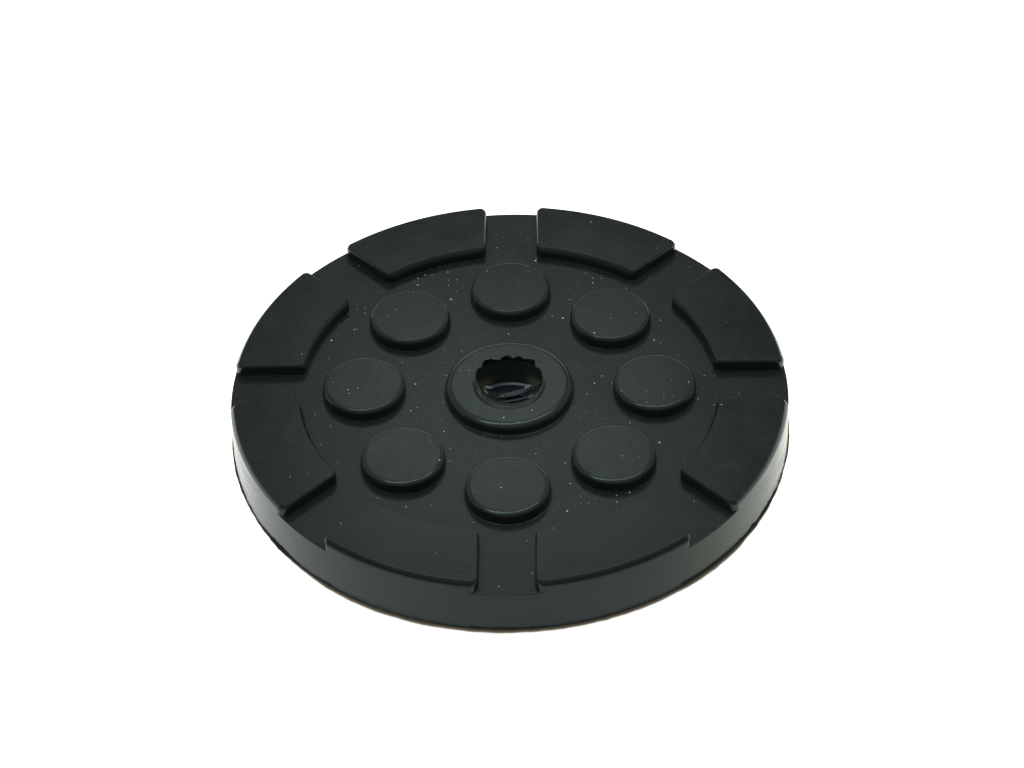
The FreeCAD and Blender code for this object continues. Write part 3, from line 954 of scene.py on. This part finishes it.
def make_world():
    """White to look at. As a light, the room is bright low behind the pad, and dim on the camera's side."""
    world = bpy.data.worlds.new("studio")
    bpy.context.scene.world = world
    nodes = Nodes(world)
    across, forward, up = nodes.split(nodes.add("ShaderNodeTexCoord").outputs["Generated"])
    aside = nodes.math("ABSOLUTE", across)
    horizon = nodes.product(nodes.fit(up, 0.12, 0.50, 1.5, 0.03), nodes.fit(aside, 0.30, 0.55, 1.0, 0.2))
    aloft = nodes.fit(up, 0.70, 0.86, 0.10, 0.65)
    sideways = nodes.fit(aside, 0.08, 0.34, 0.0, 0.42)
    behind = nodes.product(nodes.largest(horizon, aloft, sideways), nodes.fit(forward, -0.65, 0.0))
    near = nodes.product(nodes.fit(up, 0.15, 0.85, 0.0, 0.36), nodes.fit(forward, 0.3, 0.0))
    path = nodes.add("ShaderNodeLightPath").outputs
    strength = nodes.largest(
        behind, nodes.total(near, 0.10), path["Is Camera Ray"], path["Is Transmission Ray"])
    background = nodes.add("ShaderNodeBackground", Color=WHITE, Strength=strength)
    nodes.add("ShaderNodeOutputWorld", Surface=background.outputs[0])


def make_lamps():
    """A soft window behind the pad, and a narrow tube overhead."""
    for name, place, aim, width, length, radiance in (
        ("window", (-0.024, 0.590, 0.590), (-0.008, -0.006, 0.0), 0.19, 0.12, 1.52),
        ("tube", (-0.020, 0.030, 0.500), (0.0, 0.0, 0.0), 0.60, 0.10, 4.2),
    ):
        data = bpy.data.lights.new(name, "AREA")
        data.shape = "RECTANGLE"
        data.size = width
        data.size_y = length
        data.energy = radiance * math.pi * width * length
        lamp = bpy.data.objects.new(name, data)
        lamp.location = place
        lamp.rotation_euler = (Vector(aim) - Vector(place)).to_track_quat("-Z", "Y").to_euler()
        bpy.context.scene.collection.objects.link(lamp)


def make_camera():
    """The photograph's view: an orbit about the pad's foot, then a small pan, tilt and roll."""
    distance = 0.76488
    elevation = 43.529
    azimuth = -88.262
    pan = 0.00098
    tilt = 0.01390
    roll = -1.805
    lens = 102.14
    turn = heading(azimuth) * math.cos(math.radians(elevation))
    away = Vector((turn.x, turn.y, math.sin(math.radians(elevation))))
    right = away.cross(Vector((0, 0, -1))).normalized()
    up = right.cross(-away)
    forward = (-away + pan * right + tilt * up).normalized()
    right = forward.cross(up).normalized()
    up = right.cross(forward)
    pose = Matrix((right, up, -forward)).transposed() @ Matrix.Rotation(math.radians(roll), 3, "Z")
    data = bpy.data.cameras.new("photo_view")
    data.lens = lens
    data.sensor_width = 36.0
    camera = bpy.data.objects.new("photo_view", data)
    camera.matrix_world = Matrix.Translation(away * distance) @ pose.to_4x4()
    bpy.context.scene.collection.objects.link(camera)
    bpy.context.scene.camera = camera


bpy.context.scene.view_settings.view_transform = "Standard"
rubber = rubber_material("black_rubber")
broken = rubber_material("matt_shaded_rubber", matt=1.0)
make_pad().data.materials.append(rubber)
for rags, material in ((RAGS, rubber), (FLAPS, broken)):
    for name, (path, lean) in rags.items():
        make_rag(name, path, lean).data.materials.append(material)
make_floor()
make_world()
make_lamps()
make_camera()
